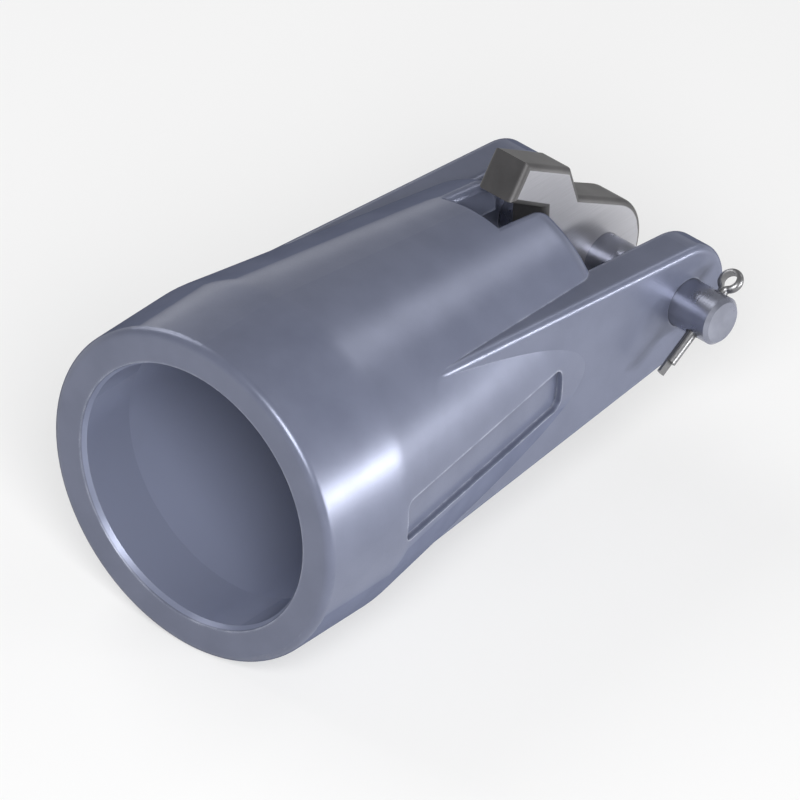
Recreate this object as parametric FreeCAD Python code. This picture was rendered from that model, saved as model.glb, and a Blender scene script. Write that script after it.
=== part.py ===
import FreeCAD, Part
import math
import os

# Latching socket end of a spinnaker pole: a conical cup with two ears, a sprung latch and its clevis pin.
# Frame: origin on the cup's axis, where the straight wall of its bore starts; +X to the ears, +Z up through the
# latch slot. Millimetres. The sizes and the modelling count X from the front face; main() moves it to the frame.

# Cup and nose, measured along X from the front face
bore_radius = 28.0
bore_length = 13.7
mouth_chamfer_width = 0.7
mouth_chamfer_depth = 1.3
flange_wall = 7.7
flange_length = 22.7
flange_blend = 25.0
rim_rounding = 1.7
body_length = 96.0
nose_bore_radius = 16.7
nose_wall = 7.9
nose_rounding = 6.6

# Ears and the holes for the clevis pin
ear_gap = 35.0
ear_thickness = 8.7
ear_reach = 18.8
ear_end_radius = 11.8
ear_taper = 6.9
ear_rounding = 1.65

# Slot over the latch
slot_width = 12.0
slot_length = 15.0
slot_rounding = 1.6

# Sunk plate on the side of the cone
plate_start = 23.2
plate_length = 54.2
plate_height = 9.5
plate_middle_height = -0.55
plate_corner = 1.9
plate_depth = 1.4

# Clevis pin
pin_radius = 5.0
pin_standout = 9.6
pin_head_radius = 6.1
pin_head_thickness = 2.0
pin_head_rounding = 0.4
pin_tip_chamfer = 0.75
ear_hole_clearance = 0.1
cross_hole_radius = 1.35
cross_hole_from_tip = 4.2
cross_hole_angle = 31.5

# Split pin, folded from half-round wire
split_radius = 1.05
split_gap = 0.1
split_eye_radius = 1.6
split_neck_radius = 1.3
split_length = 25.5
split_leg_difference = 2.8
split_seat = 0.5

# Latch: heights are above the pin's axis, reaches are ahead of it, toward the mouth
latch_thickness = 9.0
latch_end_radius = 11.9
latch_rounding = 1.3
latch_slope = 30.0
latch_hole_clearance = 0.06
stop_clearance = 0.05
finger_reach = 27.6
finger_front_height = 26.7
finger_top_reach = 22.8
finger_top_height = 33.7
finger_back_reach = 9.6
finger_back_height = 25.7
finger_foot_reach = 6.9
recess_depth = 1.5
recess_top_height = 20.2
recess_foot_height = 9.0
leg_length = 21.3
leg_toe_width = 5.66
leg_toe_rounding = 1.5
arm_thickness = 9.6
arm_rounding = 1.2
arm_crown_radius = 8.5
arm_root_overlap = 0.4
arm_root_top = 8.3
arm_root_bottom = -0.4
arm_front_bottom = 1.75
wedge_reach = 66.6
wedge_tip_top = 6.6
wedge_tip_rounding = 1.4
wedge_top_reach = 48.4
wedge_height = 16.9
wedge_top_length = 6.8
wedge_back_drop = 0.8
wedge_crown_radius = 9.5
lip_thickness = 3.6
lip_overhang = 2.6
catch_foot_height = 9.0
block_reach = 26.8
block_depth = 4.6

# Spring, standing under the latch
spring_radius = 3.55
spring_wire = 0.8
spring_seat_depth = 0.6
spring_seat_clearance = 0.3
spring_active_turns = 2.6
spring_end_turns = 1.0
spring_end_gap = 0.04
spring_end_ease = 0.25
spring_steps = 12
seat_clearance = 0.05

# Sizes that follow from the ones above
overcut = 2.0
same_place = 1e-6
flange_radius = bore_radius + flange_wall
nose_radius = nose_bore_radius + nose_wall
pin_x = body_length + ear_reach
ears_width = ear_gap + 2 * ear_thickness
pin_length = ears_width + pin_standout
leg_reach = ear_reach - stop_clearance
arm_root_reach = leg_reach - arm_root_overlap
wedge_top_end = wedge_top_reach - wedge_top_length
catch_reach = wedge_top_end + lip_overhang
wedge_back_height = wedge_height - wedge_back_drop
lip_height = wedge_back_height - lip_thickness
block_radius = arm_thickness / 2
bore_slope = (bore_radius - nose_bore_radius) / (body_length - bore_length)
spring_x = pin_x - block_reach
bore_radius_at_spring = bore_radius - bore_slope * (spring_x - bore_length)
spring_seat_height = -bore_radius_at_spring - spring_seat_depth
spring_top_height = -block_depth - seat_clearance

X_AXIS = FreeCAD.Vector(1, 0, 0)
Y_AXIS = FreeCAD.Vector(0, 1, 0)
Z_AXIS = FreeCAD.Vector(0, 0, 1)


def side_point(x, z):
    return FreeCAD.Vector(x, 0, z)


def rounded_outline(corners):
    """A closed wire in the XZ plane through (x, z, radius) corners, each rounded to its radius."""
    points = [side_point(x, z) for x, z, radius in corners]
    count = len(points)
    starts = []
    ends = []
    crowns = []
    for index, (x, z, radius) in enumerate(corners):
        here = points[index]
        back = (points[index - 1] - here).normalize()
        onward = (points[(index + 1) % count] - here).normalize()
        half_angle = back.getAngle(onward) / 2
        reach = radius / math.tan(half_angle)
        middle = (back + onward).normalize() if radius else here
        starts.append(here + back * reach)
        ends.append(here + onward * reach)
        crowns.append(here + middle * (radius / math.sin(half_angle) - radius))
    edges = []
    for index in range(count):
        if corners[index][2]:
            edges.append(Part.Arc(starts[index], crowns[index], ends[index]).toShape())
        following = starts[(index + 1) % count]
        if (following - ends[index]).Length > same_place:
            edges.append(Part.LineSegment(ends[index], following).toShape())
    return Part.Wire(edges)


def extruded(wire, thickness, centre_y=0.0):
    """A plate of the given thickness across Y."""
    plate = Part.Face(wire).extrude(Y_AXIS * thickness)
    plate.translate(Y_AXIS * (centre_y - thickness / 2))
    return plate


def turned(corners):
    """A solid of revolution about X from (x, radius, rounding) corners."""
    face = Part.Face(rounded_outline(corners))
    return face.revolve(FreeCAD.Vector(0, 0, 0), X_AXIS, 360)


def rounded_side_edges(plate, radius, skip=None):
    """Round the edges of both flat sides of a plate, except those that skip() names."""
    low = plate.BoundBox.YMin
    high = plate.BoundBox.YMax
    edges = []
    for edge in plate.Edges:
        box = edge.BoundBox
        on_low = box.YMax - low < same_place
        on_high = high - box.YMin < same_place
        if not (on_low or on_high):
            continue
        if skip and skip(edge):
            continue
        edges.append(edge)
    return plate.makeFillet(radius, edges)


def cone_radius(x, inset=0.0):
    """Outer radius of the cone at x, less an inset square to its surface."""
    slope = (flange_radius - nose_radius) / (body_length - flange_length)
    return flange_radius - slope * (x - flange_length) - inset * math.sqrt(1 + slope * slope)


# The socket body, cast in one piece
def outer_form():
    corners = [
        (0, 0, 0),
        (0, flange_radius, rim_rounding),
        (flange_length, flange_radius, flange_blend),
        (body_length, nose_radius, nose_rounding),
        (body_length, 0, 0),
    ]
    return turned(corners)


def ear(side):
    apex = pin_x + ear_end_radius / math.sin(math.radians(ear_taper))
    root_half_height = (apex - flange_length) * math.tan(math.radians(ear_taper))
    corners = [
        (flange_length, -root_half_height, 0),
        (apex, 0, ear_end_radius),
        (flange_length, root_half_height, 0),
    ]
    centre_y = side * (ear_gap + ear_thickness) / 2
    plate = extruded(rounded_outline(corners), ear_thickness, centre_y)
    return rounded_side_edges(plate, ear_rounding, lambda edge: edge.BoundBox.XMax - flange_length < same_place)


def cavity():
    mouth_growth = mouth_chamfer_width * (1 + overcut / mouth_chamfer_depth)
    corners = [
        (-overcut, 0, 0),
        (-overcut, bore_radius + mouth_growth, 0),
        (mouth_chamfer_depth, bore_radius, 0),
        (bore_length, bore_radius, 0),
        (body_length + overcut, nose_bore_radius - bore_slope * overcut, 0),
        (body_length + overcut, 0, 0),
    ]
    return turned(corners)


def slot_tool():
    box = Part.makeBox(slot_length + overcut, slot_width, flange_radius)
    box.translate(FreeCAD.Vector(body_length - slot_length, -slot_width / 2, 0))
    return box


def rounded_slot(body):
    """Round the slot's edges where its walls meet the cone, the end face and the bore."""
    front = body_length - slot_length
    chosen = []
    for edge in body.Edges:
        box = edge.BoundBox
        if box.ZMin < 0 or box.XMin < front - same_place:
            continue
        on_side = box.YLength < same_place and abs(abs(box.YMin) - slot_width / 2) < same_place
        on_front = box.XMax - front < same_place and box.YLength > slot_width / 2
        inner_corner = on_side and box.XMax - front < same_place
        if (on_side or on_front) and not inner_corner:
            chosen.append(edge)
    return body.makeFillet(slot_rounding, chosen)


def plate_recess():
    """A shallow pocket of even depth that follows the cone, on the side that faces -Y."""
    end = plate_start + plate_length
    low = plate_middle_height - plate_height / 2
    high = plate_middle_height + plate_height / 2
    corners = [
        (plate_start, low, plate_corner),
        (end, low, plate_corner),
        (end, high, plate_corner),
        (plate_start, high, plate_corner),
    ]
    block = extruded(rounded_outline(corners), flange_radius, -flange_radius)
    start = flange_length - flange_blend
    inner = [
        (start, 0, 0),
        (start, cone_radius(start, plate_depth), 0),
        (body_length, cone_radius(body_length, plate_depth), 0),
        (body_length, 0, 0),
    ]
    return block.cut(turned(inner))


def make_socket_body():
    body = outer_form().fuse([ear(1), ear(-1)])
    body = body.cut(cavity())
    body = body.cut(slot_tool())
    body = rounded_slot(body)
    hole_radius = pin_radius + ear_hole_clearance
    hole = Part.makeCylinder(hole_radius, ears_width + 2 * overcut, FreeCAD.Vector(pin_x, 0, 0), Y_AXIS)
    hole.translate(Y_AXIS * (-ears_width / 2 - overcut))
    seat_radius = spring_radius + spring_seat_clearance
    seat_place = FreeCAD.Vector(spring_x, 0, spring_seat_height)
    seat = Part.makeCylinder(seat_radius, -spring_seat_height, seat_place, Z_AXIS)
    body = body.cut([hole, seat, plate_recess()])
    return body.removeSplitter()


# The clevis pin: its head bears on the +Y ear, its tip stands out past the other
def make_clevis_pin():
    corners = [
        (0, 0, 0),
        (0, pin_head_radius, pin_head_rounding),
        (pin_head_thickness, pin_head_radius, 0),
        (pin_head_thickness, pin_radius, 0),
        (pin_head_thickness + pin_length - pin_tip_chamfer, pin_radius, 0),
        (pin_head_thickness + pin_length, pin_radius - pin_tip_chamfer, 0),
        (pin_head_thickness + pin_length, 0, 0),
    ]
    pin = turned(corners)
    hole_x = pin_head_thickness + pin_length - cross_hole_from_tip
    span = 2 * (pin_radius + overcut)
    hole = Part.makeCylinder(cross_hole_radius, span, FreeCAD.Vector(hole_x, 0, -span / 2), Z_AXIS)
    # Laid down along X the hole points up: it is turned to its own angle once the pin lies along -Y
    pin = pin.cut(hole)
    pin.rotate(FreeCAD.Vector(0, 0, 0), Z_AXIS, -90)
    pin.rotate(FreeCAD.Vector(0, 0, 0), Y_AXIS, 90 - cross_hole_angle)
    pin.translate(FreeCAD.Vector(pin_x, ears_width / 2 + pin_head_thickness, 0))
    return pin


def split_pin_path():
    """Flat side of the folded wire: up the long leg, round the eye and down the short one."""
    half_gap = split_gap / 2
    reach = split_eye_radius + split_neck_radius
    rise = half_gap + split_neck_radius
    neck = math.sqrt(reach * reach - rise * rise)
    eye_centre = pin_radius + split_seat + neck
    eye_end = eye_centre + split_eye_radius + split_radius
    long_tip = eye_end - split_length
    short_tip = long_tip + split_leg_difference
    neck_start = eye_centre - neck
    neck_turn = math.atan2(neck, rise)

    def leg(side, tip):
        return [side_point(tip, side * half_gap), side_point(neck_start, side * half_gap)]

    def neck_point(side, angle):
        x = neck_start + split_neck_radius * math.sin(angle)
        z = side * (rise - split_neck_radius * math.cos(angle))
        return side_point(x, z)

    up = leg(1, long_tip)
    down = leg(-1, short_tip)
    up_end = neck_point(1, neck_turn)
    down_end = neck_point(-1, neck_turn)
    eye_top = side_point(eye_centre + split_eye_radius, 0)
    edges = [
        Part.LineSegment(up[0], up[1]).toShape(),
        Part.Arc(up[1], neck_point(1, neck_turn / 2), up_end).toShape(),
        Part.Arc(up_end, eye_top, down_end).toShape(),
        Part.Arc(down_end, neck_point(-1, neck_turn / 2), down[1]).toShape(),
        Part.LineSegment(down[1], down[0]).toShape(),
    ]
    return Part.Wire(edges)


def make_split_pin():
    path = split_pin_path()
    start = path.Vertexes[0].Point
    edge_low = start + Y_AXIS * -split_radius
    edge_high = start + Y_AXIS * split_radius
    crown = start + Z_AXIS * split_radius
    section = Part.Wire([
        Part.Arc(edge_low, crown, edge_high).toShape(),
        Part.LineSegment(edge_high, edge_low).toShape(),
    ])
    sweep = Part.BRepOffsetAPI.MakePipeShell(path)
    sweep.setBiNormalMode(Y_AXIS)
    sweep.add(section)
    sweep.build()
    sweep.makeSolid()
    pin = sweep.shape()
    # The legs part along the clevis pin, the long one next to the ear
    pin.rotate(FreeCAD.Vector(0, 0, 0), X_AXIS, -90)
    pin.rotate(FreeCAD.Vector(0, 0, 0), Y_AXIS, -cross_hole_angle)
    hole_y = ears_width / 2 - pin_length + cross_hole_from_tip
    pin.translate(FreeCAD.Vector(pin_x, hole_y, 0))
    return pin


# The latch: a plate on the pin, with an arm and its wedge in the cup
def ahead(reach, height, rounding=0):
    return (pin_x - reach, height, rounding)


def latch_plate():
    slope = math.radians(latch_slope)
    foot_height = (latch_end_radius + finger_foot_reach * math.sin(slope)) / math.cos(slope)
    # The leg's back edge runs from the heel of its toe and touches the round end
    heel_reach = leg_reach - leg_toe_width
    heel_distance = math.hypot(heel_reach, leg_length)
    back_slope = math.acos(latch_end_radius / heel_distance) - math.atan2(heel_reach, leg_length)
    spread = latch_end_radius / math.sin(slope + back_slope)
    tail_reach = -spread * (math.cos(slope) + math.cos(back_slope))
    tail_height = spread * (math.sin(back_slope) - math.sin(slope))
    corners = [
        ahead(leg_reach, -leg_length, leg_toe_rounding),
        ahead(heel_reach, -leg_length),
        ahead(tail_reach, tail_height, latch_end_radius),
        ahead(finger_foot_reach, foot_height),
        ahead(finger_back_reach, finger_back_height),
        ahead(finger_top_reach, finger_top_height),
        ahead(finger_reach, finger_front_height),
        ahead(leg_reach - recess_depth, recess_top_height),
        ahead(leg_reach - recess_depth, recess_foot_height),
        ahead(leg_reach, recess_foot_height - recess_depth * math.tan(slope)),
    ]
    plate = extruded(rounded_outline(corners), latch_thickness)
    return rounded_side_edges(plate, latch_rounding)


def crowned(bar, crown_radius, start, end):
    """Turn the top of a bar to a crown along a line from start to end, given in the XZ plane."""
    run = end - start
    length = run.Length
    side = run.normalize()
    across = side.cross(Y_AXIS)
    cylinder = Part.makeCylinder(crown_radius, length, start - across * crown_radius, side)
    lid_width = arm_thickness + 2 * overcut
    lid_depth = crown_radius / 2
    corner = start - across * lid_depth - Y_AXIS * (lid_width / 2)
    lid_outline = Part.makePolygon([
        corner,
        corner + side * length,
        corner + side * length + Y_AXIS * lid_width,
        corner + Y_AXIS * lid_width,
        corner,
    ])
    lid = Part.Face(lid_outline).extrude(across * (lid_depth + overcut))
    return bar.cut(lid.cut(cylinder))


def arm_top(reach):
    slope = (catch_foot_height - arm_root_top) / (catch_reach - leg_reach)
    return arm_root_top + slope * (reach - leg_reach)


def arm_bottom(reach):
    slope = (arm_front_bottom - arm_root_bottom) / (wedge_reach - block_reach)
    return arm_root_bottom + slope * (reach - block_reach)


def latch_arm():
    front_reach = catch_reach + 2 * arm_rounding
    corners = [
        ahead(arm_root_reach, arm_bottom(arm_root_reach)),
        ahead(arm_root_reach, arm_top(arm_root_reach)),
        ahead(front_reach, arm_top(front_reach)),
        ahead(front_reach, arm_bottom(front_reach)),
    ]
    bar = extruded(rounded_outline(corners), arm_thickness)
    start = side_point(pin_x - front_reach, arm_top(front_reach))
    end = side_point(pin_x - arm_root_reach, arm_top(arm_root_reach))
    bar = crowned(bar, arm_crown_radius, start, end)
    return rounded_side_edges(bar, arm_rounding, lambda edge: edge.BoundBox.XLength < arm_thickness)


def latch_wedge():
    corners = [
        ahead(wedge_reach, arm_front_bottom, wedge_tip_rounding),
        ahead(wedge_reach, wedge_tip_top),
        ahead(wedge_top_reach, wedge_height),
        ahead(wedge_top_end, wedge_back_height),
        ahead(wedge_top_end, lip_height),
        ahead(catch_reach, lip_height),
        ahead(catch_reach, arm_bottom(catch_reach)),
    ]
    wedge = extruded(rounded_outline(corners), arm_thickness)
    top_slope = wedge_back_drop / wedge_top_length
    margin = arm_thickness / 2
    start = side_point(pin_x - wedge_top_reach - margin, wedge_height + top_slope * margin)
    end = side_point(pin_x - wedge_top_end + margin, wedge_back_height - top_slope * margin)
    wedge = crowned(wedge, wedge_crown_radius, start, end)

    def inside_arm(edge):
        box = edge.BoundBox
        return box.XMin > pin_x - catch_reach - same_place and box.ZMax < lip_height - same_place

    return rounded_side_edges(wedge, arm_rounding, inside_arm)


def spring_block():
    """The half-round step under the arm, where the spring bears."""
    root_x = pin_x - arm_root_reach
    top = (arm_root_bottom + arm_root_top) / 2

    def foot_point(x, y):
        return FreeCAD.Vector(x, y, -block_depth)

    right_start = foot_point(root_x, -block_radius)
    right_end = foot_point(spring_x, -block_radius)
    nose = foot_point(spring_x - block_radius, 0)
    left_end = foot_point(spring_x, block_radius)
    left_start = foot_point(root_x, block_radius)
    outline = Part.Wire([
        Part.LineSegment(right_start, right_end).toShape(),
        Part.Arc(right_end, nose, left_end).toShape(),
        Part.LineSegment(left_end, left_start).toShape(),
        Part.LineSegment(left_start, right_start).toShape(),
    ])
    return Part.Face(outline).extrude(Z_AXIS * (block_depth + top))


def make_latch():
    latch = latch_plate().fuse([latch_arm(), latch_wedge(), spring_block()])
    hole_radius = pin_radius + latch_hole_clearance
    start = FreeCAD.Vector(pin_x, -latch_thickness, 0)
    hole = Part.makeCylinder(hole_radius, 2 * latch_thickness, start, Y_AXIS)
    return latch.cut(hole).removeSplitter()


# The spring, coiled from round wire with a closed turn at each end
def spring_height_at(turn):
    """Height of the wire's centre above the seat after so many turns."""
    closed_pitch = spring_wire + spring_end_gap
    rise = spring_top_height - spring_seat_height - seat_clearance - spring_wire
    open_pitch = (rise - 2 * spring_end_turns * closed_pitch) / spring_active_turns
    total = 2 * spring_end_turns + spring_active_turns

    def climbed(turns):
        lead = turns - spring_end_turns
        if lead <= -spring_end_ease:
            return closed_pitch * turns
        if lead >= spring_end_ease:
            return closed_pitch * turns + (open_pitch - closed_pitch) * lead
        eased = (lead + spring_end_ease) ** 2 / (4 * spring_end_ease)
        return closed_pitch * turns + (open_pitch - closed_pitch) * eased

    if turn <= total / 2:
        return spring_wire / 2 + climbed(turn)
    return spring_wire / 2 + rise - climbed(total - turn)


def make_spring():
    coil_radius = spring_radius - spring_wire / 2
    turns = 2 * spring_end_turns + spring_active_turns
    count = int(round(turns * spring_steps))
    points = []
    for step in range(count + 1):
        turn = turns * step / count
        angle = 2 * math.pi * turn
        height = spring_seat_height + seat_clearance + spring_height_at(turn)
        x = spring_x + coil_radius * math.cos(angle)
        points.append(FreeCAD.Vector(x, coil_radius * math.sin(angle), height))
    line = Part.BSplineCurve()
    line.interpolate(points)
    path = Part.Wire(line.toShape())
    direction = line.tangent(line.FirstParameter)[0]
    ring = Part.Circle(points[0], direction, spring_wire / 2)
    sweep = Part.BRepOffsetAPI.MakePipeShell(path)
    sweep.setFrenetMode(True)
    sweep.add(Part.Wire(ring.toShape()))
    sweep.build()
    sweep.makeSolid()
    return sweep.shape()


def main():
    os.makedirs("parts", exist_ok=True)
    pieces = {
        "socket_body": make_socket_body(),
        "clevis_pin": make_clevis_pin(),
        "latch": make_latch(),
        "spring": make_spring(),
        "split_pin": make_split_pin(),
    }
    for name, shape in pieces.items():
        print(name, "solids", len(shape.Solids), "valid", shape.isValid(), "volume mm3", round(shape.Volume, 1))
        shape.translate(X_AXIS * -mouth_chamfer_depth)
        shape.exportStep("parts/" + name + ".step")


main()
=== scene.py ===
# %% [markdown]
# A spinnaker pole's end fitting: a cast aluminium socket with two ears, and the clevis pin, latch, spring and split
# pin that work in it. Every form is already true in the CAD frame, so this lesson is about finishes and light: how
# five plain metal parts come to look cast, turned, ground, drawn and folded. First the frame is loaded and
# measured.
# Its unit is the metre, and sizes here are written in millimetres and multiplied by MM.

# %% Load the frame
import bmesh
import bpy
import math
from mathutils import Matrix, Vector


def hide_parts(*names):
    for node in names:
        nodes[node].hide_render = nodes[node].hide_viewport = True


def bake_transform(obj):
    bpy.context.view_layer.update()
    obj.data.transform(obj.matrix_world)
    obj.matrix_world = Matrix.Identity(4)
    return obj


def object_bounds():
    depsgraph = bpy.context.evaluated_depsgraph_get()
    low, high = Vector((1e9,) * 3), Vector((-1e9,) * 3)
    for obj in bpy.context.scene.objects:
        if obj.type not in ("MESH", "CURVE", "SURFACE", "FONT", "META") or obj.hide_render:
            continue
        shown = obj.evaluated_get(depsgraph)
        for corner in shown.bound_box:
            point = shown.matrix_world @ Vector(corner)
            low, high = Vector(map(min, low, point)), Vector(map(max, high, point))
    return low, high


MM = 0.001

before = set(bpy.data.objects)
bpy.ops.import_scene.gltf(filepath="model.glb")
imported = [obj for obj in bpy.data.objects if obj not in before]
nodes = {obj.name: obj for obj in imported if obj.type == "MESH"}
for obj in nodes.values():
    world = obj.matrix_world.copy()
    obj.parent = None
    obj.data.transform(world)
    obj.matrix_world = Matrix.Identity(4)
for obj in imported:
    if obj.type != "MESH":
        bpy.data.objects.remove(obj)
cad_low, cad_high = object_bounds()
print("pieces", sorted(nodes), "box in mm", [round(v / MM, 1) for v in cad_high - cad_low])

# %% [markdown]
# The picture is a parallel drawing, seen from the mouth's side and above, and turned a little clockwise. An
# orthographic camera draws the same way, and its three angles come from the drawing's own axes. The drawing shows
# the pieces apart and fills its sheet with them. Here they are together, so the camera measures how far the fitting
# reaches across and up in its own view, and fills the picture with it in the same way.

# %% Camera
CAMERA_AZIMUTH = -50.14
CAMERA_ELEVATION = 35.91
CAMERA_ROLL = 2.55
CAMERA_DISTANCE = 1.5
FILLED_SHARE = 0.86

turn = Matrix.Rotation(math.radians(CAMERA_AZIMUTH), 3, "Z")
tilt = Matrix.Rotation(math.radians(90 - CAMERA_ELEVATION), 3, "X")
roll = Matrix.Rotation(math.radians(CAMERA_ROLL), 3, "Z")
camera_axes = turn @ tilt @ roll
right, up, toward = camera_axes.col

points = [vertex.co for piece in nodes.values() for vertex in piece.data.vertices]
across = [point.dot(right) for point in points]
above = [point.dot(up) for point in points]
aim = right * (min(across) + max(across)) / 2 + up * (min(above) + max(above)) / 2
reach = max(max(across) - min(across), max(above) - min(above))

camera_data = bpy.data.cameras.new("drawing_camera")
camera_data.type = "ORTHO"
camera_data.ortho_scale = reach / FILLED_SHARE
camera = bpy.data.objects.new("drawing_camera", camera_data)
camera.matrix_world = Matrix.Translation(aim + toward * CAMERA_DISTANCE) @ camera_axes.to_4x4()
bpy.context.scene.collection.objects.link(camera)
bpy.context.scene.camera = camera
print("camera sees", round(camera_data.ortho_scale / MM), "mm across; the fitting reaches", round(reach / MM))

# %% [markdown]
# Every finish is built from nodes, and a few helpers keep that readable. The first turns a screen colour, written
# as a hex value, into the linear numbers that shaders work in. The second adds a node with its settings and its
# links in one call, and all the others are built on it. Noise seldom reaches 0 or 1, so each finish takes the range
# that the noise does fill and stretches it over the one wanted. A Mix node has its factor at input 0 and then a
# pair of inputs for each kind of data: 2 and 3 are its numbers, 6 and 7 its colours.

# %% Colour and node helpers
WHITE = (1.0, 1.0, 1.0, 1.0)
NOISE_RANGE = (0.3, 0.7)
BLOTCH_RANGE = (0.35, 0.7)
FULL_RANGE = (0.0, 1.0)


def linear(hex_colour):
    """A screen colour as linear light, by the sRGB curve."""
    channels = [int(hex_colour[i:i + 2], 16) / 255 for i in (1, 3, 5)]
    return [c / 12.92 if c <= 0.04045 else ((c + 0.055) / 1.055) ** 2.4 for c in channels] + [1.0]


def add_node(tree, kind, settings=None, inputs=None):
    """Add a node. An input's value is either a constant or the output socket that feeds it."""
    node = tree.nodes.new(kind)
    for name, value in (settings or {}).items():
        setattr(node, name, value)
    for name, value in (inputs or {}).items():
        if isinstance(value, bpy.types.NodeSocket):
            tree.links.new(value, node.inputs[name])
        else:
            node.inputs[name].default_value = value
    return node


def new_finish(name):
    """An empty material with its output, ready for a shader."""
    material = bpy.data.materials.new(name)
    material.use_nodes = True
    tree = material.node_tree
    tree.nodes.clear()
    output = add_node(tree, "ShaderNodeOutputMaterial")
    return material, tree, output


def wear_finish(piece, material):
    """Put one finish on all of a piece."""
    piece.data.materials.clear()
    piece.data.materials.append(material)


def noise(tree, place, size_mm, detail, roughness=0.5):
    """Noise whose patches are about size_mm across."""
    return add_node(tree, "ShaderNodeTexNoise", None,
                    {"Vector": place, "Scale": 1 / (size_mm * MM), "Detail": detail,
                     "Roughness": roughness}).outputs["Fac"]


def stretch(tree, value, found, wanted):
    """Spread the part of a value that lies in the range found over the range wanted."""
    return add_node(tree, "ShaderNodeMapRange", None,
                    {"Value": value, "From Min": found[0], "From Max": found[1], "To Min": wanted[0],
                     "To Max": wanted[1]}).outputs["Result"]


def mix_colour(tree, factor, first, second):
    """Blend two colours; each is a hex value or a socket."""
    first = linear(first) if isinstance(first, str) else first
    second = linear(second) if isinstance(second, str) else second
    return add_node(tree, "ShaderNodeMix", {"data_type": "RGBA"},
                    {0: factor, 6: first, 7: second}).outputs[2]


def mix_number(tree, factor, first, second):
    """Blend two numbers; each is a constant or a socket."""
    return add_node(tree, "ShaderNodeMix", {"data_type": "FLOAT"},
                    {0: factor, 2: first, 3: second}).outputs[0]


def bump(tree, height, strength, depth_mm):
    """A normal that leans as if the pattern stood depth_mm out of the surface."""
    return add_node(tree, "ShaderNodeBump", None,
                    {"Height": height, "Strength": strength,
                     "Distance": depth_mm * MM}).outputs["Normal"]


def metal(tree, output, inputs):
    """Close a finish with one shader that has these inputs."""
    shader = add_node(tree, "ShaderNodeBsdfPrincipled", None, inputs)
    tree.links.new(shader.outputs[0], output.inputs["Surface"])


print("helpers ready; mid grey is", [round(v, 3) for v in linear("#808080")[:3]])

# %% [markdown]
# The socket is a casting, blasted to an even satin and then anodised blue-grey. Up close such a skin is a fine
# pebble left by the blasting; from a step away it is soft patches, a little lighter or darker, where the metal took
# the dye unevenly. So two noise patterns are used: a grain well below a millimetre that bumps the surface and
# varies its gloss, and a cloud about a centimetre wide that only shifts the colour. The oxide over the metal is
# what holds the dye, and it scatters light of its own, so the shader is only partly metallic. Edges that get
# knocked are paler: the Bevel node finds them, because its rounded normal leaves the true one only near an edge.
# The bore's wall is painted paler than the rest of the socket: painted light that lifts the shade deep in the bore.
# A mask finds it by distance from the socket's axis, which is the X axis here. Seen at a grazing angle, the skin
# would mirror the lamps behind the fitting and burn a white line into its outline. A blasted skin does lose some of
# that glare, because its pebbles hide one another. Here all of it is faded out, metallic and not, which is more
# than a real one would lose. The Layer Weight node's Facing says how far a spot is turned away, and at a Blend of
# 0.5 it is plainly 1 less the cosine of the angle.

# %% Finish of the socket
SOCKET_COLOUR = "#616679"
SOCKET_PALE = "#676C7F"
SOCKET_EDGE = "#B4B8C6"
# Painted light: the bore's wall is coloured paler to lift the shade inside it.
SOCKET_BORE_PAINTED_LIGHT = "#81879D"
BLAST_GRAIN_MM = 0.35
CLOUD_MM = 9.0
SOCKET_BUMP, SOCKET_BUMP_MM = 0.16, 0.05
PATCH_RANGE = (0.35, 0.65)
EDGE_WIDTH_MM = 0.8
EDGE_AGREEMENT = (0.995, 0.90)
EDGE_SAMPLES = 6
KNOCK_MM = 4.0
KNOCK_NOISE = (0.4, 0.7)
KNOCK_PALENESS = (0.15, 0.75)
SOCKET_METALLIC = 0.3
SOCKET_SPECULAR = 0.5
GRAZING = (0.5, 0.72)
PLAIN_BLEND = 0.5
SOCKET_ROUGHNESS = (0.28, 0.37)
BORE_END_MM, BORE_RADIUS_MM = 12.4, 28.0
NOSE_END_MM, NOSE_BORE_RADIUS_MM = 94.7, 16.7
BORE_MARGIN_MM = 0.5
NOT_ALONG_X = (0, 1, 1)


def edge_mask(tree, width_mm, agreement_range):
    """White along edges within about width_mm, black on open surface."""
    geometry = add_node(tree, "ShaderNodeNewGeometry")
    rounded = add_node(tree, "ShaderNodeBevel", {"samples": EDGE_SAMPLES}, {"Radius": width_mm * MM})
    agreement = add_node(tree, "ShaderNodeVectorMath", {"operation": "DOT_PRODUCT"},
                         {0: geometry.outputs["Normal"], 1: rounded.outputs["Normal"]})
    return add_node(tree, "ShaderNodeMapRange", {"interpolation_type": "SMOOTHSTEP"},
                    {"Value": agreement.outputs["Value"], "From Min": agreement_range[0],
                     "From Max": agreement_range[1], "To Min": 0.0, "To Max": 1.0}).outputs["Result"]


def bore_painted_light_mask(tree, place):
    """White on the inner wall that takes painted light: straight at the mouth, then narrowing toward the ears."""
    along = add_node(tree, "ShaderNodeSeparateXYZ", None, {"Vector": place}).outputs["X"]
    wall = stretch(tree, along, (BORE_END_MM * MM, NOSE_END_MM * MM),
                   ((BORE_RADIUS_MM + BORE_MARGIN_MM) * MM, (NOSE_BORE_RADIUS_MM + BORE_MARGIN_MM) * MM))
    outward = add_node(tree, "ShaderNodeVectorMath", {"operation": "MULTIPLY"}, {0: place, 1: NOT_ALONG_X})
    radius = add_node(tree, "ShaderNodeVectorMath", {"operation": "LENGTH"}, {0: outward.outputs["Vector"]})
    return add_node(tree, "ShaderNodeMath", {"operation": "LESS_THAN"},
                    {0: radius.outputs["Value"], 1: wall}).outputs[0]


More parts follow.
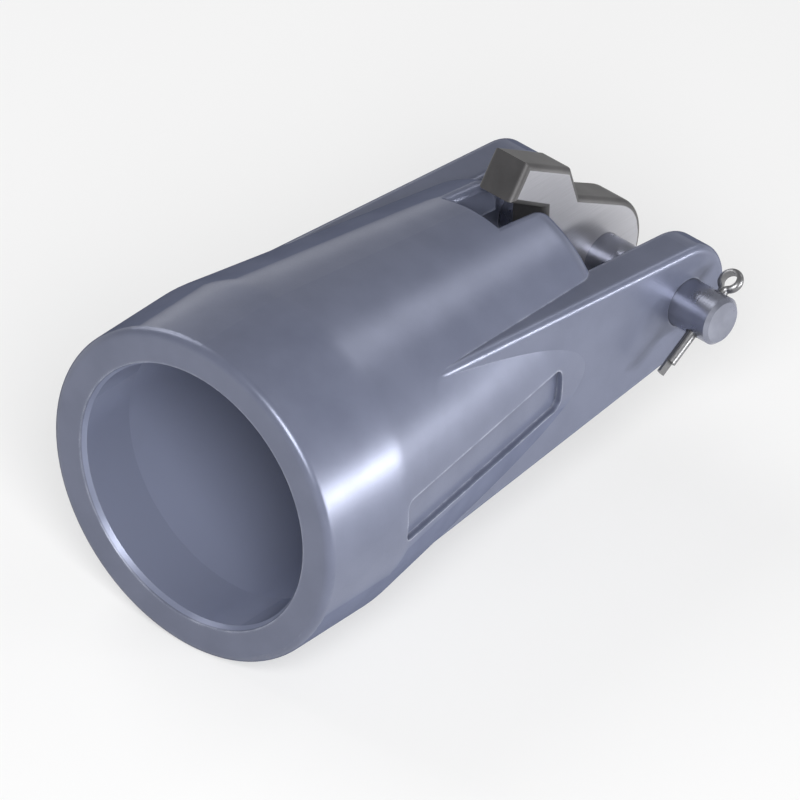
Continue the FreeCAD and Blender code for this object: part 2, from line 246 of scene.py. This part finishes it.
def socket_finish():
    material, tree, output = new_finish("blasted_anodised_aluminium")
    place = add_node(tree, "ShaderNodeTexCoord").outputs["Object"]
    cloud = noise(tree, place, CLOUD_MM, detail=4.0)
    grain = noise(tree, place, BLAST_GRAIN_MM, detail=3.0, roughness=0.6)
    patches = stretch(tree, cloud, PATCH_RANGE, FULL_RANGE)
    colour = mix_colour(tree, patches, SOCKET_COLOUR, SOCKET_PALE)
    # Painted light: the bore's wall is made paler, standing in for light that reaches deep into the bore.
    colour = mix_colour(tree, bore_painted_light_mask(tree, place), colour, SOCKET_BORE_PAINTED_LIGHT)
    worn = edge_mask(tree, EDGE_WIDTH_MM, EDGE_AGREEMENT)
    blows = noise(tree, place, KNOCK_MM, detail=5.0, roughness=0.7)
    knocks = stretch(tree, blows, KNOCK_NOISE, KNOCK_PALENESS)
    knocked = add_node(tree, "ShaderNodeMath", {"operation": "MULTIPLY"}, {0: worn, 1: knocks})
    colour = mix_colour(tree, knocked.outputs[0], colour, SOCKET_EDGE)
    gloss = stretch(tree, grain, NOISE_RANGE, SOCKET_ROUGHNESS)
    turned_away = add_node(tree, "ShaderNodeLayerWeight", None, {"Blend": PLAIN_BLEND}).outputs["Facing"]
    metal(tree, output, {"Base Color": colour, "Roughness": gloss,
                         "Metallic": stretch(tree, turned_away, GRAZING, (SOCKET_METALLIC, 0.0)),
                         "Specular IOR Level": stretch(tree, turned_away, GRAZING, (SOCKET_SPECULAR, 0.0)),
                         "Normal": bump(tree, grain, SOCKET_BUMP, SOCKET_BUMP_MM)})
    return material


wear_finish(nodes["socket_body"], socket_finish())
print("socket finish: blast grain", BLAST_GRAIN_MM, "mm, clouds", CLOUD_MM, "mm")

# %% [markdown]
# The clevis pin is turned from stainless bar. The tool leaves rings round it, far too fine to see one by one, that
# pull every highlight into a line along the shaft. The rings are drawn here as a wave along the pin's length,
# coarser than the real ones so that they still show. At a Scale of 1 a wave texture repeats every 2 pi / 20 of a
# metre, so that number turns the spacing wanted into a Scale. The anisotropic setting stretches the highlight, and
# needs to be told which way the rings run: the Tangent node points round the pin's own Y axis.

# %% Finish of the clevis pin
PIN_COLOUR = "#8C8F9E"
PIN_PALE = "#9C9FAC"
PIN_METALLIC = 0.9
PIN_ROUGHNESS = (0.24, 0.36)
PIN_STRETCH = 0.4
PIN_RING_MM = 0.7
PIN_BUMP, PIN_BUMP_MM = 0.2, 0.02
HANDLING_MM = 6.0
WAVE_PERIOD = 2 * math.pi / 20


def pin_finish():
    material, tree, output = new_finish("turned_stainless_steel")
    place = add_node(tree, "ShaderNodeTexCoord").outputs["Object"]
    rings = add_node(tree, "ShaderNodeTexWave", {"bands_direction": "Y"},
                     {"Vector": place, "Scale": WAVE_PERIOD / (PIN_RING_MM * MM)}).outputs["Fac"]
    handling = noise(tree, place, HANDLING_MM, detail=4.0)
    gloss = stretch(tree, handling, NOISE_RANGE, PIN_ROUGHNESS)
    round_the_pin = add_node(tree, "ShaderNodeTangent", {"direction_type": "RADIAL", "axis": "Y"})
    colour = mix_colour(tree, stretch(tree, handling, BLOTCH_RANGE, FULL_RANGE), PIN_COLOUR, PIN_PALE)
    metal(tree, output, {"Base Color": colour, "Metallic": PIN_METALLIC, "Roughness": gloss,
                         "Anisotropic": PIN_STRETCH, "Tangent": round_the_pin.outputs[0],
                         "Normal": bump(tree, rings, PIN_BUMP, PIN_BUMP_MM)})
    return material


wear_finish(nodes["clevis_pin"], pin_finish())
print("pin finish: tool rings drawn", PIN_RING_MM, "mm apart")

# %% [markdown]
# The latch is an investment casting in stainless steel. Its skin stays dark and slightly rough all round, but both
# flat sides are ground so that it swings freely between the ears, and they come out pale, with straight lines from
# the wheel. One material does both: the object-space normal says which way the metal faces, and where it looks
# straight sideways the ground face takes over from the cast one.

# %% Finish of the latch
CAST_COLOUR = "#494849"
CAST_PALE = "#585758"
GROUND_COLOUR = "#A0A0A5"
GROUND_PALE = "#ACACB1"
LATCH_METALLIC = 0.6
CAST_ROUGHNESS = 0.5
GROUND_ROUGHNESS = 0.36
FACES_SIDEWAYS = (0.985, 0.998)
GRIND_LINE_MM = 0.25
GRIND_LENGTH_MM = 9.0
CAST_GRAIN_MM = 0.5
LATCH_BUMP, LATCH_BUMP_MM = 0.2, 0.04
BLOTCH_MM = 7.0


def latch_finish():
    material, tree, output = new_finish("cast_stainless_with_ground_sides")
    coordinates = add_node(tree, "ShaderNodeTexCoord")
    place = coordinates.outputs["Object"]
    facing = add_node(tree, "ShaderNodeSeparateXYZ", None, {"Vector": coordinates.outputs["Normal"]})
    sideways = add_node(tree, "ShaderNodeMath", {"operation": "ABSOLUTE"}, {0: facing.outputs["Y"]})
    ground = stretch(tree, sideways.outputs[0], FACES_SIDEWAYS, FULL_RANGE)

    grain = noise(tree, place, CAST_GRAIN_MM, detail=4.0, roughness=0.6)
    blotch = noise(tree, place, BLOTCH_MM, detail=3.0)
    cast = mix_colour(tree, stretch(tree, blotch, BLOTCH_RANGE, FULL_RANGE), CAST_COLOUR, CAST_PALE)

    long_lines = add_node(tree, "ShaderNodeMapping", None,
                          {"Vector": place, "Scale": (GRIND_LINE_MM / GRIND_LENGTH_MM, 1.0, 1.0)})
    lines = noise(tree, long_lines.outputs[0], GRIND_LINE_MM, detail=3.0, roughness=0.6)
    polished = mix_colour(tree, stretch(tree, lines, NOISE_RANGE, FULL_RANGE), GROUND_COLOUR, GROUND_PALE)

    colour = mix_colour(tree, ground, cast, polished)
    height = mix_number(tree, ground, grain, lines)
    gloss = mix_number(tree, ground, CAST_ROUGHNESS, GROUND_ROUGHNESS)
    metal(tree, output, {"Base Color": colour, "Metallic": LATCH_METALLIC, "Roughness": gloss,
                         "Normal": bump(tree, height, LATCH_BUMP, LATCH_BUMP_MM)})
    return material


wear_finish(nodes["latch"], latch_finish())
print("latch finish: grinding lines", GRIND_LINE_MM, "by", GRIND_LENGTH_MM, "mm")

# %% [markdown]
# The spring stands in the socket and carries the latch. Pressing the finger pushes its top end down and tips it
# with the arm, while its foot stays put, so it belongs to both bodies, and a CAD piece can ride on only one. The
# coil here is a copy that stands for the CAD piece, with its loose triangles merged, and the CAD spring is hidden.

# %% Spring copy that stands for the CAD piece
MERGE_MM = 0.001
SHARP_DEGREES = 40

coil_shape = bmesh.new()
coil_shape.from_mesh(nodes["spring"].data)
bmesh.ops.remove_doubles(coil_shape, verts=coil_shape.verts, dist=MERGE_MM * MM)
for face in coil_shape.faces:
    face.smooth = True
for edge in coil_shape.edges:
    edge.smooth = edge.is_manifold and edge.calc_face_angle() < math.radians(SHARP_DEGREES)
coil_data = bpy.data.meshes.new("latch_coil")
coil_shape.to_mesh(coil_data)
coil_shape.free()

coil = bpy.data.objects.new("latch_coil", coil_data)
bpy.context.scene.collection.objects.link(coil)
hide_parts("spring")
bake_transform(coil)

# %% [markdown]
# The spring is hard-drawn wire, bright from the die. The split pin is softer half-round wire, duller and grey.
# Neither has anything like a pattern at this size, so each gets fine specks in its gloss and little else.

# %% Finishes of the spring and the split pin
SPRING_COLOUR = "#D6CFDC"
SPLIT_PIN_COLOUR = "#7C7C7E"
SPRING_ROUGHNESS = (0.16, 0.28)
SPLIT_PIN_ROUGHNESS = (0.3, 0.42)
WIRE_METALLIC = 0.85
WIRE_SPECK_MM = 0.4
WIRE_BUMP, WIRE_BUMP_MM = 0.1, 0.02


def wire_finish(name, hex_colour, roughness):
    material, tree, output = new_finish(name)
    place = add_node(tree, "ShaderNodeTexCoord").outputs["Object"]
    specks = noise(tree, place, WIRE_SPECK_MM, detail=3.0, roughness=0.6)
    gloss = stretch(tree, specks, NOISE_RANGE, roughness)
    metal(tree, output, {"Base Color": linear(hex_colour), "Metallic": WIRE_METALLIC, "Roughness": gloss,
                         "Normal": bump(tree, specks, WIRE_BUMP, WIRE_BUMP_MM)})
    return material


wear_finish(coil, wire_finish("bright_drawn_spring_wire", SPRING_COLOUR, SPRING_ROUGHNESS))
wear_finish(nodes["split_pin"], wire_finish("dull_half_round_wire", SPLIT_PIN_COLOUR, SPLIT_PIN_ROUGHNESS))
print("finished", len(nodes), "pieces")

# %% [markdown]
# The drawing stands on plain white. A wide pale floor under the flange gives that and catches a soft shadow. What
# the camera and the reflections see of it is part glow, so that it comes out nearly white with no extra light.
# Metal shows what is round it, so the world matters more than the lamps: it is bright near the horizon and greyer
# overhead, which leaves the middle of a round form calm and lights up its edges.

# %% Floor and world
FLOOR_SIDE = 6.0
FLOOR_COLOUR = "#E6E6E6"
FLOOR_ROUGHNESS = 0.9
FLOOR_SPECULAR = 0.1
FLOOR_GLOW_SHARE = 0.55
SKY_TOP = 0.25
SKY_HORIZON = 0.42
SKY_FADE = (0.1, 0.9)
SKY_LIGHT = 0.12
SKY_SHOWN = 0.93

bpy.ops.mesh.primitive_plane_add(size=FLOOR_SIDE, location=(0, 0, cad_low.z))
floor = bpy.context.object
floor.name = "floor"
floor_material, tree, output = new_finish("pale_floor")
floor_shader = add_node(tree, "ShaderNodeBsdfPrincipled", None,
                        {"Base Color": linear(FLOOR_COLOUR), "Roughness": FLOOR_ROUGHNESS,
                         "Specular IOR Level": FLOOR_SPECULAR})
floor_glow = add_node(tree, "ShaderNodeEmission", None, {"Color": WHITE, "Strength": 1.0})
rays = add_node(tree, "ShaderNodeLightPath")
seen = add_node(tree, "ShaderNodeMath", {"operation": "MAXIMUM"},
                {0: rays.outputs["Is Camera Ray"], 1: rays.outputs["Is Glossy Ray"]})
share = add_node(tree, "ShaderNodeMath", {"operation": "MULTIPLY"}, {0: seen.outputs[0], 1: FLOOR_GLOW_SHARE})
floor_mix = add_node(tree, "ShaderNodeMixShader", None,
                     {0: share.outputs[0], 1: floor_shader.outputs[0], 2: floor_glow.outputs[0]})
tree.links.new(floor_mix.outputs[0], output.inputs["Surface"])
floor.data.materials.append(floor_material)

world = bpy.data.worlds.new("studio")
bpy.context.scene.world = world
world.use_nodes = True
tree = world.node_tree
tree.nodes.clear()
direction = add_node(tree, "ShaderNodeTexCoord").outputs["Generated"]
height = add_node(tree, "ShaderNodeSeparateXYZ", None, {"Vector": direction}).outputs["Z"]
sky = stretch(tree, height, SKY_FADE, (SKY_HORIZON, SKY_TOP))
rays = add_node(tree, "ShaderNodeLightPath")
lit = mix_number(tree, rays.outputs["Is Glossy Ray"], SKY_LIGHT, sky)
shown = mix_number(tree, rays.outputs["Is Camera Ray"], lit, SKY_SHOWN)
background = add_node(tree, "ShaderNodeBackground", None, {"Color": WHITE, "Strength": shown})
add_node(tree, "ShaderNodeOutputWorld", None, {"Surface": background.outputs[0]})
print("floor at", round(cad_low.z / MM, 1), "mm")

# %% [markdown]
# Six lamps light the fitting, most of them soft. The drawing is lit from about where it is seen, so the broad front
# lamp stands there as well: it shows every form evenly and reaches down the bore. Two softer ones stand at the
# sides: the right one lifts the sunk plate and the flat outer face of the ear, and the left one, higher up, the far
# side of the cone. Two low strips stand behind, right and left. A round form picks each up as a narrow streak along
# its side, which is what the flange and the cone show in the drawing. The last lamp, high behind, lays the faint
# band along the top of the cone. Each is placed by the direction that its light comes from.

# %% Lamps
LAMP_DISTANCE = 0.9
LAMPS = {
    "front": {"from": (-0.60, -0.53, 0.60), "size": (0.45, 0.45), "watts": 9.0},
    "right": {"from": (0.30, -0.92, 0.05), "size": (0.35, 0.25), "watts": 4.4},
    "right_streak": {"from": (0.60, -0.76, 0.0), "size": (0.22, 0.04), "watts": 3.0},
    "left": {"from": (0.10, 0.75, 0.65), "size": (0.60, 0.60), "watts": 3.5},
    "left_streak": {"from": (0.60, 0.78, 0.08), "size": (0.50, 0.12), "watts": 0.35},
    "behind": {"from": (0.82, -0.14, 0.55), "size": (0.25, 0.25), "watts": 0.6},
}
fitting_centre = (cad_low + cad_high) / 2

for name, lamp_facts in LAMPS.items():
    lamp_data = bpy.data.lights.new(name, "AREA")
    lamp_data.shape = "ELLIPSE"
    lamp_data.size, lamp_data.size_y = lamp_facts["size"]
    lamp_data.energy = lamp_facts["watts"]
    lamp = bpy.data.objects.new(name, lamp_data)
    away = Vector(lamp_facts["from"]).normalized()
    lamp.location = fitting_centre + away * LAMP_DISTANCE
    lamp.rotation_mode = "QUATERNION"
    lamp.rotation_quaternion = away.to_track_quat("Z", "Y")
    bpy.context.scene.collection.objects.link(lamp)
print("lamps", list(LAMPS))

# %% [markdown]
# Last come the settings that decide how light becomes colour, and a note of the two boxes, the frame's and the
# dressed fitting's, to show that nothing outgrew the CAD.

# %% View settings and sizes
bpy.context.scene.view_settings.view_transform = "Standard"
